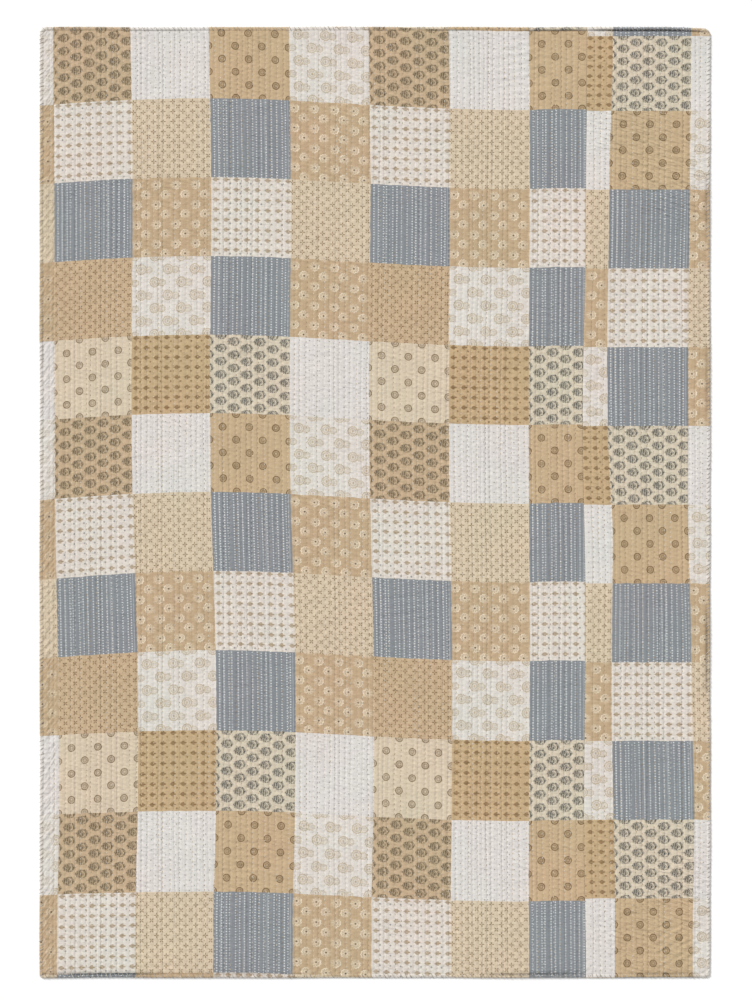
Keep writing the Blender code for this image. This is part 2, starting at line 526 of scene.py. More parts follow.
def lay(panel, guide, along):
    """Where places of a panel lie, and how much painted shade each takes in a crease or a fold's hollow.

    guide counts the panel's guide lines across, and along is the way from its foot.
    """
    low = np.clip(np.floor(guide).astype(int), 0, len(panel["guides"]) - 2)
    part = guide - low
    across = panel["guides"][low] * (1 - part) + panel["guides"][low + 1] * part
    for line, share in ((low, 1 - part), (low + 1, part)):
        wave = np.sin(math.tau * along / panel["sway_length"][line] + panel["sway_phase"][line])
        across = across + share * panel["sway"][line] * wave
    nominal_y = along - THROW_LENGTH / 2
    left, right = panel_limits(panel["name"], nominal_y)
    across = across * (right - left) / panel["width"]
    on_left = panel["outer"] == "left"
    from_outer = across if on_left else right - left - across
    from_seam = right - left - from_outer
    from_end = np.minimum(along, THROW_LENGTH - along)
    at_head = along > THROW_LENGTH / 2
    radius = np.where(at_head, CORNERS[(panel["outer"], "head")][0], CORNERS[(panel["outer"], "foot")][0])
    round_outer, round_end = rounded(from_outer, from_end, radius)
    x = left + round_outer if on_left else right - round_outer
    share = np.where(at_head, THROW_LENGTH - round_end, round_end) / THROW_LENGTH
    y = end_y("foot", x) * (1 - share) + end_y("head", x) * share
    end_crease = np.where(at_head, crease_depth("head", x), crease_depth("foot", x))
    side_crease = crease_depth(panel["outer"], y)
    fullness = np.where(from_end < from_outer, end_crease, side_crease) / TUCK
    turned = straight(TURNED_EDGE, np.minimum(from_outer, from_end))
    raised = np.clip(turned - CLOTH, 0, None)
    height = turned - raised * (1 - np.clip(SLACK_ROLL + fullness, 0, 1))
    by_seam = from_seam < SEAM_EDGE[-1][0]
    height = np.where(by_seam, np.minimum(height, straight(SEAM_EDGE, from_seam)), height)
    from_nearest = np.minimum(np.minimum(from_outer, from_end), from_seam)
    field = np.clip(from_nearest / TURNED_EDGE[-1][0] - FIELD_START, 0, 1)
    height = height + field * (field_lift(x, y) - TROUGH * sunk(panel, guide))
    painted_shade = 0.0
    for distance, depth, way, seed in ((from_end, end_crease, x, 41), (from_outer, side_crease, y, 31)):
        groove = np.exp(-((distance - CREASE_INSET) / CREASE_REACH) ** 2)
        lift, painted_hollow_shade = drawn_folds(distance, way, seed)
        height = height + lift - depth * groove
        # painted shade for the crease, a little nearer the edge and wider than its groove
        shade = np.exp(-((distance - CREASE_INSET + SHADE_OFFSET) / (CREASE_REACH * SHADE_SPREAD)) ** 2)
        painted_shade = painted_shade + painted_hollow_shade + depth / TUCK * shade
    return x, y, np.maximum(height, THINNEST), painted_shade


# ---------------------------------------------------------------- the printed squares

def print_place(name, x, y):
    """Where places lie on the print, counted in squares to the right and down."""
    down = 0.5 - y / THROW_LENGTH
    if name == "panel_side":
        left_line, right_line = eased(SIDE_LEFT_LINE, down), eased(SIDE_RIGHT_LINE, down)
        rows = (SIDE_FIRST_ROW_LINE - y) / SIDE_SQUARE_LONG
        return 2 + (x - left_line) / (right_line - left_line), np.where(rows < 0, rows / SIDE_TOP_ROW, rows)
    lean = eased(LEAN_DOWN, down) * straight(LEAN_ACROSS, x)
    sway = COLUMN_SWAY * straight(SWAY_ACROSS, x) * np.cos(math.tau * 2 * (down - SWAY_START))
    right = (x - FIRST_COLUMN - lean - straight(COLUMN_SHIFTS, x) - sway) / SQUARE_WIDE
    past = x - ROW_CREST
    left_drop = LEFT_DROP * (past / LEFT_REACH) ** 2
    right_drop = RIGHT_DROP * (1 - np.exp(-(past / RIGHT_REACH) ** 2))
    at_foot = np.where(past < 0, *DROPS_AT_FOOT)
    drop = np.where(past < 0, left_drop, right_drop) * (1 - np.clip(down * 2 - 1, 0, 1) * (1 - at_foot))
    sag = SAG * np.exp(-((down - SAG_PLACE) / SAG_REACH) ** 2) * straight(SAG_ACROSS, x)
    drop = drop + sag - SEAM_RISE * straight(SEAM_RISE_ACROSS, x)
    middle = np.clip((FIRST_ROW_LINE - y) / (BOWED_ROWS * SQUARE_LONG), -0.1, 1.1)
    bow = BOW * np.sin(np.pi * middle) - ROW_SWING * np.sin(math.tau * middle)
    return right, 1 + (FIRST_ROW_LINE - y + bow - drop) / SQUARE_LONG


# ---------------------------------------------------------------- shader arithmetic

class Amount:
    """A number worked out by nodes. Arithmetic on it in code adds the Math nodes that do it."""

    def __init__(self, tree, socket):
        self.tree = tree
        self.socket = socket

    def __add__(self, other):
        return maths(self.tree, "ADD", self, other)

    def __radd__(self, other):
        return maths(self.tree, "ADD", other, self)

    def __sub__(self, other):
        return maths(self.tree, "SUBTRACT", self, other)

    def __rsub__(self, other):
        return maths(self.tree, "SUBTRACT", other, self)

    def __mul__(self, other):
        return maths(self.tree, "MULTIPLY", self, other)

    def __rmul__(self, other):
        return maths(self.tree, "MULTIPLY", other, self)

    def __truediv__(self, other):
        return maths(self.tree, "DIVIDE", self, other)

    def __pow__(self, other):
        return maths(self.tree, "POWER", self, other)

    def __abs__(self):
        return maths(self.tree, "ABSOLUTE", self)

    def __or__(self, other):
        """The greater of the two, which joins two masks."""
        return maths(self.tree, "MAXIMUM", self, other)

    def below(self, limit, soft=0.5):
        """1 where this is below a limit, 0 above it, with a soft edge."""
        return maths(self.tree, "MULTIPLY_ADD", self, -1 / soft, limit / soft + 0.5, clamp=True)

    def near(self, centre, half, soft=0.5):
        """1 where this is within half of the centre."""
        return abs(self - centre).below(half, soft)


def connect(tree, value, socket):
    """Feeds a socket from an Amount or another socket, or sets it to a plain value."""
    if isinstance(value, Amount):
        tree.links.new(value.socket, socket)
    elif isinstance(value, bpy.types.NodeSocket):
        tree.links.new(value, socket)
    else:
        socket.default_value = value


def add_node(tree, kind, inputs=None, **settings):
    """A new node with its settings and inputs."""
    node = tree.nodes.new(kind)
    for label, value in settings.items():
        setattr(node, label, value)
    for key, value in (inputs or {}).items():
        connect(tree, value, node.inputs[key])
    return node


def maths(tree, operation, *values, clamp=False):
    """A Math node on these values."""
    node = add_node(tree, "ShaderNodeMath", dict(enumerate(values)), operation=operation, use_clamp=clamp)
    return Amount(tree, node.outputs[0])


def vectors(tree, operation, *values, output=0):
    """A Vector Math node on these values."""
    node = add_node(tree, "ShaderNodeVectorMath", dict(enumerate(values)), operation=operation)
    return node.outputs[output]


def split(tree, vector):
    """The first two parts of a vector."""
    parts = add_node(tree, "ShaderNodeSeparateXYZ", {0: vector})
    return Amount(tree, parts.outputs[0]), Amount(tree, parts.outputs[1])


def joined(tree, x, y, z=0.0):
    """A vector from its parts."""
    return add_node(tree, "ShaderNodeCombineXYZ", {0: x, 1: y, 2: z}).outputs[0]


def noise(tree, vector, scale, detail=2.0, roughness=0.5):
    """A Noise texture's value at a place."""
    node = add_node(tree, "ShaderNodeTexNoise",
                    {"Vector": vector, "Scale": scale, "Detail": detail, "Roughness": roughness})
    return Amount(tree, node.outputs[0])


def stretched_noise(tree, vector, across, along, detail=1.0, roughness=0.5):
    """A Noise texture's value at a place, with a scale of its own in each direction."""
    return noise(tree, vectors(tree, "MULTIPLY", vector, (across, along, 1.0)), 1.0, detail, roughness)


def dotted_noise(tree, value):
    """An uneven value from 0 to 1 for each whole number."""
    node = add_node(tree, "ShaderNodeTexWhiteNoise", {"W": value}, noise_dimensions="1D")
    return Amount(tree, node.outputs[0])


def turned_by(tree, vector, angle):
    """A vector turned about the Z axis."""
    return add_node(tree, "ShaderNodeVectorRotate", {"Vector": vector, "Angle": angle}).outputs[0]


def mixed(tree, share, first, second, blend="MIX"):
    """One colour over another."""
    node = add_node(tree, "ShaderNodeMix", data_type="RGBA", blend_type=blend)
    for key, value in ((0, share), (6, first), (7, second)):
        connect(tree, value, node.inputs[key])
    return node.outputs[2]


def chart(tree, number, colours):
    """Picks one of a list of colours by a whole number."""
    ramp = add_node(tree, "ShaderNodeValToRGB", {0: (number + 0.5) / len(colours)})
    ramp.color_ramp.interpolation = "CONSTANT"
    elements = ramp.color_ramp.elements
    while len(elements) < len(colours):
        elements.new(1.0)
    for place, colour in enumerate(colours):
        elements[place].position = place / len(colours)
        elements[place].color = colour
    return ramp.outputs[0]


def blended(tree, number, colours):
    """A colour from a list, blended from one to the next as the number goes from 0 to 1."""
    ramp = add_node(tree, "ShaderNodeValToRGB", {0: number})
    elements = ramp.color_ramp.elements
    while len(elements) < len(colours):
        elements.new(1.0)
    for place, colour in enumerate(colours):
        elements[place].position = place / (len(colours) - 1)
        elements[place].color = colour
    return ramp.outputs[0]


# ---------------------------------------------------------------- the block-printed motifs, in millimetres

def nearest_centre(tree, place, across, along, start):
    """The way from the nearest centre of a half-drop repeat, and 1 if that centre is a dropped one."""
    size = (across, along, 1.0)
    moved = vectors(tree, "SUBTRACT", place, (start[0], start[1], 0.0))
    unit = vectors(tree, "DIVIDE", moved, size)
    half, lowest = (0.5, 0.5, 0.5), (-0.5, -0.5, -0.5)
    straight_on = vectors(tree, "WRAP", unit, half, lowest)
    dropped = vectors(tree, "WRAP", vectors(tree, "ADD", unit, (0.5, 0.5, 0.0)), half, lowest)
    further = Amount(tree, vectors(tree, "LENGTH", straight_on, output=1))
    nearer = Amount(tree, vectors(tree, "LENGTH", dropped, output=1))
    is_dropped = maths(tree, "GREATER_THAN", further, nearer)
    chosen = add_node(tree, "ShaderNodeMix", data_type="VECTOR")
    for key, value in ((0, is_dropped), (4, straight_on), (5, dropped)):
        connect(tree, value, chosen.inputs[key])
    return vectors(tree, "MULTIPLY", chosen.outputs[1], size), is_dropped


def nearest_in_grid(tree, place, half_across, half_along, start):
    """The way from the nearest centre of a plain repeat, whose cells have these half sizes."""
    moved = vectors(tree, "SUBTRACT", place, (start[0], start[1], 0.0))
    wrapped = vectors(tree, "WRAP", moved, (half_across, half_along, 1.0), (-half_across, -half_along, -1.0))
    return split(tree, wrapped)


def radius_of(x, y, wide=1.0, high=1.0):
    """The distance from a motif's centre, on an oval's scale."""
    return maths(x.tree, "SQRT", (x / wide) ** 2.0 + (y / high) ** 2.0)


def angle_of(x, y):
    """The direction from a motif's centre."""
    return maths(x.tree, "ARCTAN2", y, x)


def cosine(amount):
    """The cosine of an Amount."""
    return maths(amount.tree, "COSINE", amount)


def bunch_motif(tree, place):
    """A bushy leaf of dark strokes and pale flecks, with a pale curl and a crescent at its point."""
    way, _ = nearest_centre(tree, place, 49.2, 25.2, (21.2, 0.0))
    x, y = split(tree, way)
    tufts = cosine(angle_of(x + 2.0, y) * 11.0) * 0.06
    bush = (radius_of(x + 0.2, y, 12.4, 8.2) + tufts).below(1.0, 0.12)
    tip = (x + abs(y) * 0.72).below(11.4, 1.4)
    bend = stretched_noise(tree, way, 0.07, 0.15)
    hook = radius_of(x + 0.4 + (bend - 0.5) * 2.4, y - 0.6, 4.9, 5.4).near(1.0, 0.19, 0.14)
    hook = hook * (x * -1.0).below(0.8, 1.6)
    slits = cosine(x * 1.55 + y * 0.25 + bend * 8.0).below(0.35, 0.7)
    tuft = stretched_noise(tree, way, 0.36, 0.27).below(0.55, 0.07)
    crescent = (x * -1.0).below(-5.4, 0.8) * (0.50 + tuft * 0.35)
    return (bush * tip) * (((slits * tuft * 0.58 + 0.42) | crescent) * (1 - hook * 0.92)), None


def pins_motif(tree, place):
    """Pin dots."""
    way, _ = nearest_centre(tree, place, 18.9, 19.0, (8.8, 14.8))
    x, y = split(tree, way)
    return radius_of(x, y).below(1.12, 0.7), None


def ring_motif(tree, place):
    """A round dot with a darker rim, a ring inside it and a pale speck."""
    way, _ = nearest_centre(tree, place, 50.4, 49.2, (23.6, 25.6))
    x, y = split(tree, way)
    out = radius_of(x, y)
    disc = out.below(7.0, 0.8) * 0.38
    rim = out.near(6.5, 0.85)
    inner = out.near(3.1, 0.7) * 0.75
    speck = radius_of(x - 0.8, y + 0.4).below(1.1, 0.7)
    return ((disc | rim) | inner) * (1 - speck * 0.6), None


def bud_motif(tree, place):
    """A small three-lobed bud that points to the right, and a dot beside each."""
    x, y = nearest_in_grid(tree, place, 9.80, 9.55, (8.4, 4.2))
    tongue = radius_of(x - 0.6, y, 6.2, 1.9).below(1.0, 0.35) * 0.95
    aside = abs(y) - 2.3
    lobes = radius_of(x + 0.4 - aside * 0.8, aside, 3.1, 1.8).below(1.0, 0.35) * 0.85
    stalk = abs(y).below(0.5) * x.near(-5.4, 1.2) * 0.6
    vein = radius_of(x + 0.2, abs(y) - 1.2, 3.0, 0.4).below(1.0, 0.9)
    dot_x, dot_y = nearest_in_grid(tree, place, 9.80, 9.55, (16.3, 11.5))
    return ((tongue | lobes) | stalk) * (1 - vein * 0.35), radius_of(dot_x, dot_y).below(1.75, 0.9) * 0.9


def cross_motif(tree, place):
    """Four small petals in a cross, upright and slanting by turns."""
    way, slanting = nearest_centre(tree, place, 18.9, 18.8, (3.3, 5.8))
    x, y = split(tree, way)
    along, aside = (x + y) * 0.7071, (x - y) * 0.7071
    straight_x, straight_y = abs(x), abs(y)
    slant_x, slant_y = abs(along), abs(aside)
    wide = straight_x + (slant_x - straight_x) * slanting
    high = straight_y + (slant_y - straight_y) * slanting
    far, near = maths(tree, "MAXIMUM", wide, high), maths(tree, "MINIMUM", wide, high)
    return radius_of(far - 2.9, near, 2.0, 1.0).below(1.0, 0.45) | (far.below(0.8, 0.8) * 0.35), None


def lines_motif(tree, place):
    """Upright lines at uneven distances: most are rows of dots, and a few are drawn through."""
    x, y = split(tree, place)
    number = maths(tree, "FLOOR", x / 9.2)
    drift = dotted_noise(tree, number + 0.37)
    kind = dotted_noise(tree, number + 40.71)
    off = abs(x - number * 9.2 - 2.6 - drift * 4.0)
    beat = maths(tree, "WRAP", y + kind * 7.0, 2.5, -2.5)
    dots = radius_of(off, beat, 1.30, 1.00).below(1.0, 0.4) * (noise(tree, place, 0.11, 1.0) * 2.6 + 0.1)
    under = off.below(0.7, 0.9) * (kind * 0.22)
    drawn = x - maths(tree, "FLOOR", x / 44.0) * 44.0
    solid = drawn.near(14.2, 0.45, 0.8) * 0.50
    return (dots * (0.62 + drift * 0.38)) | (solid | under), None


def daisy_motif(tree, place):
    """A pale daisy with bold scallops on one side, round a dark eye."""
    way, turned = nearest_centre(tree, place, 37.6, 37.4, (7.2, 13.6))
    x, y = split(tree, way)
    out, angle = radius_of(x, y, 1.10, 0.98), angle_of(x, y)
    side = 1 - turned * 2
    bold = (cosine(angle - 0.5) * side * -1.0).below(-0.25, 0.9)
    petals = (out + cosine(angle * 9.0) * 0.7).below(7.2, 1.4) * 0.42
    gaps = cosine(angle * 9.0 + 3.1).below(-0.5, 0.7) * out.near(5.2, 1.9) * 0.8
    scallops = (out + cosine(angle * 11.0) * 0.7).near(8.0, 0.75) * (bold * 0.82 + 0.18)
    inner = out.near(3.2, 0.5) * (0.45 + bold * 0.4)
    return ((petals * (1 - gaps)) | scallops) | inner, out.below(1.6, 0.9)


def flower_motif(tree, place):
    """A round flower drawn in fine scalloped rings, with a leafy tail to its right."""
    way, _ = nearest_centre(tree, place, 51.0, 49.5, (17.6, 23.6))
    x, y = split(tree, way)
    out, angle = radius_of(x, y), angle_of(x, y)
    scallops = (out + cosine(angle * 13.0) * 0.6).near(9.0, 0.85)
    disc = out.below(9.2, 0.8) * 0.22
    ring = out.near(5.2, 0.7) * 0.85
    heart = radius_of(x, y, 1.7, 2.6).below(1.0, 0.5)
    rays = cosine(angle * 8.0).below(-0.5, 0.8) * out.near(7.1, 1.1) * 0.45
    tail_x, tail_y = x - 13.6, y - 1.1
    tail_out, tail_angle = radius_of(tail_x, tail_y, 1.1, 1.0), angle_of(tail_x + 7.0, tail_y)
    leaf = tail_out.below(6.4, 0.8) * 0.20
    strokes = cosine(tail_angle * 15.0).below(0.0, 0.9) * (tail_out.below(6.6, 0.8) * 0.55)
    frill = (tail_out + cosine(tail_angle * 15.0) * 0.5).near(6.3, 0.7) * 0.8
    tail = ((leaf | strokes) | frill) * (1 - out.below(9.6, 0.5))
    return ((scallops | disc) | (ring | rays)) | (tail | heart), None


MOTIFS = {
    "bunch": bunch_motif,
    "pins": pins_motif,
    "ring": ring_motif,
    "bud": bud_motif,
    "cross": cross_motif,
    "lines": lines_motif,
    "daisy": daisy_motif,
    "flower": flower_motif,
}
KINDS = 10                # a motif's number is kept as a share of this, as a grey


# ---------------------------------------------------------------- materials

def new_material(name):
    """A new material, its node tree, its shader and the place in space that its patterns read."""
    material = bpy.data.materials.new(name)
    material.use_nodes = True
    tree = material.node_tree
    in_space = add_node(tree, "ShaderNodeTexCoord").outputs["Object"]
    return material, tree, tree.nodes["Principled BSDF"], in_space


def add_relief(tree, shader, height, strength, distance):
    """Gives a material's surface a relief."""
    bump = add_node(tree, "ShaderNodeBump", {"Strength": strength, "Distance": distance, "Height": height})
    connect(tree, bump.outputs[0], shader.inputs["Normal"])


def printed_squares(tree, in_space):
    """The number of the square in the repeat, and the place in that square in millimetres.

    The borders waver a little, as hand-laid ones do.
    """
    on_print = add_node(tree, "ShaderNodeUVMap", uv_map="print").outputs[0]
    uneven = add_node(tree, "ShaderNodeTexNoise", {"Vector": in_space, "Scale": 60.0, "Detail": 1.0})
    wobble = vectors(tree, "SUBTRACT", uneven.outputs[1], (0.5, 0.5, 0.5))
    wavering = vectors(tree, "MULTIPLY_ADD", wobble, (BORDER_WAVER, BORDER_WAVER, 0.0), on_print)
    cell = vectors(tree, "FLOOR", wavering)
    columns, rows = float(len(REPEAT[0])), float(len(REPEAT))
    column, row = split(tree, vectors(tree, "WRAP", cell, (columns, rows, 1.0), (0.0, 0.0, 0.0)))
    inside = vectors(tree, "SUBTRACT", on_print, cell)
    place = vectors(tree, "MULTIPLY", inside, (SQUARE_WIDE * MM, SQUARE_LONG * MM, 0.0))
    place = vectors(tree, "MULTIPLY_ADD", wobble, (MOTIF_WAVER, MOTIF_WAVER, 0.0), place)
    return row * columns + column, place


def motif_masks(tree, square, place):
    """How much of the first ink and of the second ink a place takes, each motif kept to its own squares."""
    names = list(MOTIFS)
    numbers = [names.index(PRINTS[letter][0]) / KINDS for letter in "".join(REPEAT)]
    kind = Amount(tree, chart(tree, square, [(number, number, number, 1.0) for number in numbers]))
    first_mask, second_mask = None, None
    for number, name in enumerate(names):
        first, second = MOTIFS[name](tree, place)
        chosen = maths(tree, "COMPARE", kind, number / KINDS, 0.04)
        first = first * chosen
        first_mask = first if first_mask is None else first_mask + first
        if second is not None:
            second = second * chosen
            second_mask = second if second_mask is None else second_mask + second
    return first_mask, second_mask


def sewn_relief(tree):
    """The relief that the sewing gives the cotton: a dimple at each stitch, and puffs between the rows."""
    row, way = split(tree, add_node(tree, "ShaderNodeUVMap", uv_map="sewing").outputs[0])
    nearest = maths(tree, "ROUND", row)
    off_row = abs(row - nearest)
    beat = cosine((way + maths(tree, "FRACT", nearest * ROW_SLIP)) * math.tau)
    row_pull = 0.5 + dotted_noise(tree, nearest + 0.2) * 0.9
    dimple = off_row.below(0.16, 0.24) * (0.7 - beat * 0.3) * row_pull
    puff = off_row * (0.5 + beat * 0.5)
    return puff * 0.4 - dimple * 0.6


def printed_cotton():
    """Washed cotton with twelve block prints, slubs in its threads, and dimples where it is sewn, with
    painted light and shade on its finest folds and ripples and painted shade in its creases.
    """
    material, tree, shader, in_space = new_material("block_printed_cotton")
    square, place = printed_squares(tree, in_space)
    ground, ink, second_ink = [
        chart(tree, square, [srgb(*PRINTS[letter][part]) for letter in "".join(REPEAT)])
        for part in (1, 2, 3)
    ]
    first_mask, second_mask = motif_masks(tree, square, place)

    # Ink that took unevenly
    patchy = noise(tree, in_space, 45.0, 3.0, 0.6)
    worn = noise(tree, in_space, 420.0, 2.0, 0.6)
    taken = maths(tree, "MINIMUM", patchy * 0.5 + worn * 0.9 + 0.18, 1.0)
    out_left = split(tree, in_space)[0] * -1.0
    washed = out_left.below(WASHED_FROM, 0.006) * (1 - WASHED_INK) + WASHED_INK
    colour = mixed(tree, first_mask * taken * washed, ground, ink)
    colour = mixed(tree, second_mask * taken, colour, second_ink)

    # Thick and thin threads, and the finest folds of the left strip and the finest ripples, for bumps and for
    # painted light and shade
    warp = stretched_noise(tree, in_space, 900.0, 26.0)
    weft = stretched_noise(tree, in_space, 30.0, 800.0)
    slub = stretched_noise(tree, in_space, 220.0, 330.0, 2.0, 0.6)
    cloud = noise(tree, in_space, 9.0, 3.0, 0.55)
    drawn = stretched_noise(tree, turned_by(tree, in_space, LEFT_ANGLE), 45.0, 170.0) - 0.5
    drawn = drawn * (1 - out_left.below(LEFT_STRIP, 0.010))
    slanting = stretched_noise(tree, turned_by(tree, in_space, RIPPLE_ANGLE), 50.0, 190.0)
    rippled = noise(tree, in_space, 7.0, 1.0).below(0.50, 0.12) * 0.4
    for x, y in RIPPLE_SPOTS:
        away = Amount(tree, vectors(tree, "DISTANCE", in_space, (x, y, 0.0), output=1))
        rippled = rippled | away.below(RIPPLE_REACH, 0.05)

    # Tone, age and the painted shade in creases and fold hollows
    # painted light and shade: the finest folds and ripples lighten and darken the colour, beside their bumps
    painted_fold_shading = (slanting - 0.5) * rippled * 0.21 + drawn * 0.24
    tone = (warp + weft) * 0.20 + (cloud * 0.10 + slub * 0.22) + (painted_fold_shading + COTTON_TONE)
    colour = mixed(tree, 1.0, colour, joined(tree, tone, tone, tone), "MULTIPLY")
    aged = blended(tree, noise(tree, in_space, 6.5, 2.0) * 2.6 - 0.8, TINTS)
    colour = mixed(tree, 1.0, colour, aged, "MULTIPLY")
    # painted shade: the cotton is darkened at the bottoms of creases and in the hollows of the edge folds
    painted_shade = Amount(tree, add_node(tree, "ShaderNodeAttribute", attribute_name="painted_shade").outputs["Fac"])
    dark = 1 - maths(tree, "MINIMUM", painted_shade, 1.0) * CREASE_SHADE
    colour = mixed(tree, 1.0, colour, joined(tree, dark, dark, dark), "MULTIPLY")
    connect(tree, colour, shader.inputs["Base Color"])

    crinkle = stretched_noise(tree, in_space, 60.0, 150.0, 2.0)
    relief = sewn_relief(tree) + crinkle * 0.9 + (warp + weft) * 0.22 + slanting * rippled * 2.6 + drawn * 2.2
    add_relief(tree, shader, relief, 0.95, 0.0013)
    connect(tree, worn * 0.10 + first_mask * 0.04 + 0.82, shader.inputs["Roughness"])
    shader.inputs["Sheen Weight"].default_value = 0.12
    shader.inputs["Sheen Roughness"].default_value = 0.5
    shader.inputs["Specular IOR Level"].default_value = 0.25
    return material


def cotton_back():
    """Plain undyed cotton, for the underside."""
    material, tree, shader, in_space = new_material("cotton_back")
    warp = stretched_noise(tree, in_space, 500.0, 20.0)
    weft = stretched_noise(tree, in_space, 20.0, 500.0)
    threads = warp * 0.5 + weft * 0.5
    colour = blended(tree, threads, [srgb(206, 198, 186), srgb(224, 219, 210)])
    connect(tree, colour, shader.inputs["Base Color"])
    add_relief(tree, shader, threads, 0.4, 0.0005)
    connect(tree, threads * 0.1 + 0.85, shader.inputs["Roughness"])
    shader.inputs["Specular IOR Level"].default_value = 0.25
    return material


def thread(name, tones):
    """Soft cotton thread. Each stitch has its own tone, and fine slanting bands stand for the twist."""
    material, tree, shader, in_space = new_material(name)
    tone = Amount(tree, add_node(tree, "ShaderNodeAttribute", attribute_name="tone").outputs["Fac"])
    twist = add_node(tree, "ShaderNodeTexWave", {"Vector": in_space, "Scale": 700.0, "Distortion": 1.5},
                     bands_direction="DIAGONAL").outputs["Fac"]
    fuzz = noise(tree, in_space, 900.0, 2.0)
    colour = blended(tree, tone + (fuzz - 0.5) * 0.25, tones)
    connect(tree, colour, shader.inputs["Base Color"])
    add_relief(tree, shader, twist, 0.35, 0.0002)
    connect(tree, fuzz * 0.2 + 0.7, shader.inputs["Roughness"])
    shader.inputs["Sheen Weight"].default_value = 0.1
    shader.inputs["Specular IOR Level"].default_value = 0.3
    return material


# ---------------------------------------------------------------- the two sheets

def set_map(mesh, name, across, along):
    """Gives a mesh a UV map from one pair of values for each vertex."""
    layer = mesh.uv_layers.new(name=name)
    corners = np.empty(len(mesh.loops), dtype=np.int32)
    mesh.loops.foreach_get("vertex_index", corners)
    pairs = np.stack([across, along], axis=1)[corners]
    layer.uv.foreach_set("vector", pairs.astype(np.float32).ravel())
    return layer


def places_in(mesh):
    """The places of a mesh's vertices, as an array."""
    places = np.empty(len(mesh.vertices) * 3)
    mesh.vertices.foreach_get("co", places)
    return places.reshape(-1, 3)


def spread(places):
    """Where each place lies in the box round them all, as a share of it."""
    low, high = places.min(axis=0), places.max(axis=0)
    return (places - low) / (high - low)


def pick_only(piece):
    """Selects one piece and makes it the active one."""
    bpy.ops.object.select_all(action="DESELECT")
    piece.select_set(True)
    bpy.context.view_layer.objects.active = piece


def close_underside(middle, width):
    """Folds the sheet's rim down and under, and closes it with a flat underside."""
    drawn_in = ((width - 2 * UNDER) / width, (THROW_LENGTH - 2 * UNDER) / THROW_LENGTH, 0.0)
    bpy.ops.object.mode_set(mode="EDIT")
    bpy.context.tool_settings.mesh_select_mode = (False, True, False)
    bpy.ops.mesh.select_all(action="DESELECT")
    bpy.ops.mesh.select_non_manifold()
    bpy.ops.mesh.extrude_edges_move()
    bpy.ops.transform.resize(value=drawn_in, center_override=(middle, 0.0, 0.0))
    bpy.ops.mesh.edge_face_add()
    bpy.ops.mesh.select_all(action="SELECT")
    bpy.ops.mesh.normals_make_consistent(inside=False)
    bpy.ops.object.mode_set(mode="OBJECT")


def add_sheet(panel, name, cotton, back):
    """One sheet of quilted cotton: a grid laid on its panel, with a rim and an underside."""
    columns, rows = panel["columns"], panel["rows"]
    bpy.ops.object.select_all(action="DESELECT")
    bpy.ops.mesh.primitive_grid_add(x_subdivisions=len(columns) - 1, y_subdivisions=len(rows) - 1, size=1)
    sheet = bpy.context.object
    sheet.name = name
    mesh = sheet.data
    mesh.name = name
    while mesh.uv_layers:
        mesh.uv_layers.remove(mesh.uv_layers[0])
    flat = places_in(mesh)
    guide = columns[np.rint((flat[:, 0] + 0.5) * (len(columns) - 1)).astype(int)]
    along = rows[np.rint((flat[:, 1] + 0.5) * (len(rows) - 1)).astype(int)]
    x, y, z, painted_shade = lay(panel, guide, along)
    laid = np.stack([x, y, z], axis=1)
    mesh.vertices.foreach_set("co", laid.ravel())
    mesh.update()
    bpy.ops.object.shade_smooth()
    close_underside(float(laid[:, 0].mean()), panel["width"])
    mesh = sheet.data
    places = places_in(mesh)
    print_right, print_down = print_place(panel["name"], places[:, 0], places[:, 1])
    set_map(mesh, "print", print_right, print_down)
    rim = places[len(laid):]
    left, _ = panel_limits(panel["name"], rim[:, 1])
    rim_guide = np.interp(rim[:, 0] - left, panel["guides"], np.arange(len(panel["guides"])))
    all_guides = np.concatenate([guide, rim_guide])
    all_along = np.concatenate([along, rim[:, 1] + THROW_LENGTH / 2])
    in_rows = np.clip(all_guides - panel["first"], -0.5, panel["count"] - 0.5)
    set_map(mesh, "sewing", in_rows, all_along / STITCH_PITCH)
    # painted shade on the top; the rim and the underside take none
    all_painted_shades = np.concatenate([painted_shade, np.zeros(len(rim))]).astype(np.float32)
    mesh.attributes.new("painted_shade", "FLOAT", "POINT").data.foreach_set("value", all_painted_shades)
    share = spread(places)
    bake = set_map(mesh, "OFBake", BAKE_EDGE + share[:, 0] * TOP_WIDE, BAKE_EDGE + share[:, 1] * BAKE_WHOLE)
    mesh.materials.append(cotton)
    mesh.materials.append(back)
    for face in mesh.polygons:
        if face.normal.z < -0.9 and len(face.vertices) > 4:
            face.material_index = 1
            face.use_smooth = False
            for corner in face.loop_indices:
                at = share[mesh.loops[corner].vertex_index]
                bake.uv[corner].vector = (UNDER_START + at[0] * UNDER_WIDE, BAKE_EDGE + at[1] * BAKE_WHOLE)
    return sheet


# ---------------------------------------------------------------- stitches

def new_stitch(name, length, width, height):
    """One running stitch: a plump dash of thread whose ends go down into the cloth."""
    bpy.ops.object.select_all(action="DESELECT")
    bpy.ops.mesh.primitive_uv_sphere_add(segments=4, ring_count=3, radius=0.5, rotation=(math.pi / 2, 0, 0))
    stitch = bpy.context.object
    stitch.name = name
    bpy.ops.object.transform_apply(location=False, rotation=True, scale=False)
    stitch.scale = (width, length, height)
    bpy.ops.object.transform_apply(location=False, rotation=False, scale=True)
    bpy.ops.object.mode_set(mode="EDIT")
    bpy.context.tool_settings.mesh_select_mode = (True, False, False)
    bpy.ops.mesh.select_all(action="DESELECT")
    bpy.ops.object.mode_set(mode="OBJECT")
    for vertex in stitch.data.vertices:
        vertex.select = abs(vertex.co.y) > length * 0.4
    bpy.ops.object.mode_set(mode="EDIT")
    bpy.ops.transform.translate(value=(0, 0, -height * 0.8))
    bpy.ops.object.mode_set(mode="OBJECT")
    bpy.ops.object.shade_smooth()
    return stitch


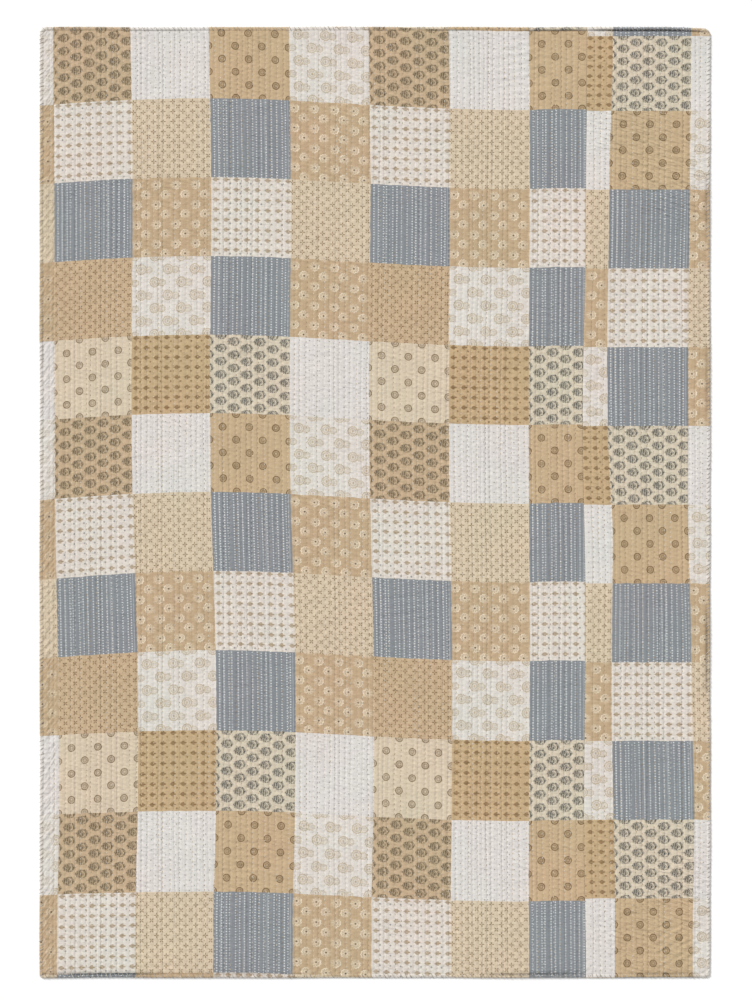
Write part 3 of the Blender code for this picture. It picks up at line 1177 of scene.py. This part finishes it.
def new_overcast_stitch(name, slant):
    """One overcast stitch: a short thread that slants over the rolled edge, inwards along +X."""
    curve = bpy.data.curves.new(name, "CURVE")
    curve.dimensions = "3D"
    curve.bevel_depth = OVERCAST_RADIUS
    curve.bevel_resolution = 0
    curve.use_fill_caps = True
    path = curve.splines.new("POLY")
    path.points.add(len(OVERCAST_PATH) - 1)
    for point, (inset, height) in zip(path.points, OVERCAST_PATH):
        point.co = (inset, slant * (inset / OVERCAST_PATH[0][0] - 0.5), height, 1.0)
    stitch = bpy.data.objects.new(name, curve)
    bpy.context.collection.objects.link(stitch)
    pick_only(stitch)
    bpy.ops.object.convert(target="MESH")
    bpy.ops.object.shade_smooth()
    return bpy.context.object


def copying_nodes(model):
    """A node group that puts a copy of one stitch at each point, turned and sized as the point says."""
    group = bpy.data.node_groups.new("sew_" + model.name, "GeometryNodeTree")
    group.interface.new_socket("Geometry", in_out="INPUT", socket_type="NodeSocketGeometry")
    group.interface.new_socket("Geometry", in_out="OUTPUT", socket_type="NodeSocketGeometry")
    start = add_node(group, "NodeGroupInput")
    stitch = add_node(group, "GeometryNodeObjectInfo", {"Object": model})
    turn = add_node(group, "GeometryNodeInputNamedAttribute", {"Name": "turn"}, data_type="FLOAT_VECTOR")
    size = add_node(group, "GeometryNodeInputNamedAttribute", {"Name": "size"}, data_type="FLOAT_VECTOR")
    turned = add_node(group, "FunctionNodeEulerToRotation", {0: turn.outputs[0]})
    copies = add_node(group, "GeometryNodeInstanceOnPoints", {
        "Points": start.outputs[0],
        "Instance": stitch.outputs["Geometry"],
        "Rotation": turned.outputs[0],
        "Scale": size.outputs[0],
    })
    real = add_node(group, "GeometryNodeRealizeInstances", {0: copies.outputs[0]})
    end = add_node(group, "NodeGroupOutput")
    group.links.new(real.outputs[0], end.inputs[0])
    return group


def sew(name, model, places, turns, sizes, tones, material):
    """Copies of one stitch at many places, joined as one piece."""
    mesh = bpy.data.meshes.new(name)
    mesh.vertices.add(len(places))
    mesh.vertices.foreach_set("co", places.astype(np.float32).ravel())
    for label, kind, key, values in (("turn", "FLOAT_VECTOR", "vector", turns),
                                     ("size", "FLOAT_VECTOR", "vector", sizes),
                                     ("tone", "FLOAT", "value", tones)):
        mesh.attributes.new(label, kind, "POINT").data.foreach_set(key, values.astype(np.float32).ravel())
    piece = bpy.data.objects.new(name, mesh)
    bpy.context.collection.objects.link(piece)
    copying = piece.modifiers.new("copies", "NODES")
    copying.node_group = copying_nodes(model)
    pick_only(piece)
    bpy.ops.object.modifier_apply(modifier=copying.name)
    mesh = piece.data
    for label in ("turn", "size"):
        if label in mesh.attributes:
            mesh.attributes.remove(mesh.attributes[label])
    while mesh.uv_layers:
        mesh.uv_layers.remove(mesh.uv_layers[0])
    share = spread(places_in(mesh))
    set_map(mesh, "OFBake", BAKE_EDGE + share[:, 0] * BAKE_WHOLE, BAKE_EDGE + share[:, 1] * BAKE_WHOLE)
    mesh.materials.clear()
    mesh.materials.append(material)
    return piece


def row_tones(panel, random):
    """The tone of the thread in each row of stitches."""
    shares, tones = columns_of(THREADS)
    picks = random.choice(len(tones), panel["count"], p=shares / shares.sum())
    return np.clip(tones[picks] + random.uniform(-0.08, 0.08, panel["count"]), 0, 1)


def running_stitches(panel, name, rows, model, tones, material, random):
    """The running stitches of some of a panel's rows."""
    places, turns, sizes, shades = [], [], [], []
    for row in rows:
        slip = (row * ROW_SLIP) % 1.0
        count = int((THROW_LENGTH - 2 * ROW_END) / STITCH_PITCH)
        along = (np.arange(1, count) + 1 - slip) * STITCH_PITCH
        along = along + random.uniform(-STITCH_SLIP, STITCH_SLIP, count - 1)
        along = along[(along > ROW_END) & (along < THROW_LENGTH - ROW_END)]
        guide = np.full(len(along), float(panel["first"] + row))
        x, y, z, _ = lay(panel, guide, along)
        ahead_x, ahead_y, _, _ = lay(panel, guide, along + AHEAD)
        heading = np.arctan2(ahead_y - y, ahead_x - x) - math.pi / 2
        flat = np.zeros(len(along))
        places.append(np.stack([x, y, z + STITCH_HEIGHT * 0.22], axis=1))
        turns.append(np.stack([flat, flat, heading + random.normal(0, 0.07, len(along))], axis=1))
        plump = random.uniform(0.85, 1.12, len(along))
        sizes.append(np.stack([plump, random.uniform(0.78, 1.22, len(along)), plump], axis=1))
        shades.append(tones[row] + random.uniform(-0.07, 0.07, len(along)))
    return sew(name, model, np.concatenate(places), np.concatenate(turns), np.concatenate(sizes),
               np.concatenate(shades), material)


def outer_line(panel, inset):
    """A line inside a panel's foot, outer side and head, from the seam round to the seam."""
    last = len(panel["guides"]) - 1
    steps = float(np.interp(inset, columns_of(TURNED_EDGE)[0], np.arange(len(TURNED_EDGE))))
    seam, outer = (last, steps) if panel["outer"] == "left" else (0, last - steps)
    fine = 1200
    across = np.linspace(seam, outer, fine)
    along = np.linspace(inset, THROW_LENGTH - inset, fine)
    guide = np.concatenate([across, np.full(fine, float(outer)), across[::-1]])
    way = np.concatenate([np.full(fine, inset), along, np.full(fine, THROW_LENGTH - inset)])
    return lay(panel, guide, way)[:3]


def overcast_edge(panel, name, model, material, random):
    """Overcast stitches round a panel's turned edges."""
    x, y, _ = outer_line(panel, 0.0)
    ridge_inset = max(TURNED_EDGE, key=lambda step: step[1])[0]
    _, _, ridge = outer_line(panel, ridge_inset)
    way = np.concatenate([[0], np.cumsum(np.hypot(np.diff(x), np.diff(y)))])
    count = int(way[-1] / OVERCAST_PITCH)
    at = (np.arange(count) + 0.5) * OVERCAST_PITCH + random.uniform(-OVERCAST_SLIP, OVERCAST_SLIP, count)
    here = np.stack([np.interp(at, way, x), np.interp(at, way, y)], axis=1)
    before = np.stack([np.interp(at - AHEAD, way, x), np.interp(at - AHEAD, way, y)], axis=1)
    after = np.stack([np.interp(at + AHEAD, way, x), np.interp(at + AHEAD, way, y)], axis=1)
    ahead = after - before
    turn = np.arctan2(ahead[:, 1], ahead[:, 0])
    inwards = turn - math.pi / 2 if panel["outer"] == "left" else turn + math.pi / 2
    flat = np.zeros(count)
    places = np.concatenate([here, flat[:, None]], axis=1)
    turns = np.stack([flat, flat, inwards + random.normal(0, 0.10, count)], axis=1)
    highest = max(height for _, height in OVERCAST_PATH)
    rise = (np.interp(at, way, ridge) + OVERCAST_RISE) / highest
    sizes = np.stack([random.uniform(0.85, 1.12, count), random.uniform(0.8, 1.3, count), rise], axis=1)
    return sew(name, model, places, turns, sizes, random.uniform(0, 1, count), material)


def seam_stitches(panel, name, model, material, random):
    """The fine slanting stitches that close the seam."""
    along = np.arange(0.008, THROW_LENGTH - 0.006, SEAM_STITCH_PITCH)
    along = along + random.uniform(-OVERCAST_SLIP, OVERCAST_SLIP, len(along))
    guide = np.full(len(along), float(len(panel["guides"]) - 1))
    x, y, z, _ = lay(panel, guide, along)
    flat = np.zeros(len(along))
    places = np.stack([x + GAP / 2, y, z + 0.0003], axis=1)
    turns = np.stack([flat, flat, SEAM_STITCH_TURN + random.normal(0, 0.15, len(along))], axis=1)
    sizes = np.stack([np.full(len(along), 0.6), random.uniform(0.75, 1.0, len(along)), flat + 0.8], axis=1)
    return sew(name, model, places, turns, sizes, random.uniform(0, 0.4, len(along)), material)


# ---------------------------------------------------------------- floor, light and camera

CAMERA_HEIGHT = 4.5
CAMERA_AIM = (0.0019, 0.0044)
VIEW_LENGTH = 1.893       # how much the view takes in from top to bottom
SENSOR = 36.0
FLOOR_SIZE = 30.0
FLOOR_DROP = 0.0003
WORLD_STRENGTH = 0.585
LAMP_PLACE = (-2.4, 2.9, 2.6)
LAMP_WIDTH = 20           # in degrees
LAMP_ENERGY = 2.66


def add_floor():
    """A plain pale floor just under the throw."""
    bpy.ops.object.select_all(action="DESELECT")
    bpy.ops.mesh.primitive_plane_add(size=FLOOR_SIZE, location=(0, 0, CAD_LOW.z - FLOOR_DROP))
    floor = bpy.context.object
    floor.name = "studio_floor"
    material, tree, shader, in_space = new_material("pale_floor")
    colour = blended(tree, noise(tree, in_space, 2.0), [srgb(251, 251, 251), srgb(254, 254, 254)])
    connect(tree, colour, shader.inputs["Base Color"])
    shader.inputs["Roughness"].default_value = 0.9
    shader.inputs["Specular IOR Level"].default_value = 0.1
    floor.data.materials.append(material)


def add_light():
    """Even studio light from all round, and one large soft light from the upper left."""
    world = bpy.data.worlds.new("studio")
    world.use_nodes = True
    background = world.node_tree.nodes["Background"]
    background.inputs["Color"].default_value = (1.0, 1.0, 1.0, 1.0)
    background.inputs["Strength"].default_value = WORLD_STRENGTH
    bpy.context.scene.world = world
    lamp = bpy.data.lights.new("soft_light", "SUN")
    lamp.angle = math.radians(LAMP_WIDTH)
    lamp.energy = LAMP_ENERGY
    light = bpy.data.objects.new("soft_light", lamp)
    bpy.context.collection.objects.link(light)
    light.location = LAMP_PLACE
    light.rotation_euler = (-light.location).to_track_quat("-Z", "Y").to_euler()


def add_camera():
    """A camera straight above the throw."""
    data = bpy.data.cameras.new("camera")
    data.sensor_width = SENSOR
    data.lens = SENSOR * CAMERA_HEIGHT / VIEW_LENGTH
    camera = bpy.data.objects.new("camera", data)
    bpy.context.collection.objects.link(camera)
    camera.location = (*CAMERA_AIM, CAMERA_HEIGHT)
    bpy.context.scene.camera = camera


def build():
    """The whole throw and its studio."""
    random = np.random.default_rng(SEED)
    main = plan_panel("panel_main", 3)
    side = plan_panel("panel_side", 4)
    cotton, back = printed_cotton(), cotton_back()
    running = thread("running_thread", [srgb(220, 214, 204), srgb(200, 183, 150), srgb(158, 135, 106)])
    edging = thread("overcast_thread", [srgb(148, 139, 125), srgb(208, 202, 193)])
    main_sheet = add_sheet(main, "main_sheet", cotton, back)
    side_sheet = add_sheet(side, "side_sheet", cotton, back)

    dash = new_stitch("dash", STITCH_LENGTH, STITCH_WIDTH, STITCH_HEIGHT)
    whip = new_overcast_stitch("whip", OVERCAST_SLANT)
    main_tones, side_tones = row_tones(main, random), row_tones(side, random)
    half = main["count"] // 2
    stitching = {}
    for name, panel, rows, tones in (
        ("running_stitches_left", main, range(half), main_tones),
        ("running_stitches_right", main, range(half, main["count"]), main_tones),
        ("running_stitches_side", side, range(side["count"]), side_tones),
    ):
        stitching[name] = running_stitches(panel, name, rows, dash, tones, running, random)
    for name, panel in (("overcast_main", main), ("overcast_side", side)):
        stitching[name] = overcast_edge(panel, name, whip, edging, random)
    stitching["seam_stitches"] = seam_stitches(main, "seam_stitches", dash, running, random)
    for model in (dash, whip):
        bpy.data.objects.remove(model)

    for sheet, node in ((main_sheet, "panel_main"), (side_sheet, "panel_side")):
        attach(sheet, "root")
        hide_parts(node)
    for piece in stitching.values():
        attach(piece, "root")

    bpy.context.scene.view_settings.view_transform = "Standard"
    add_floor()
    add_light()
    add_camera()


build()
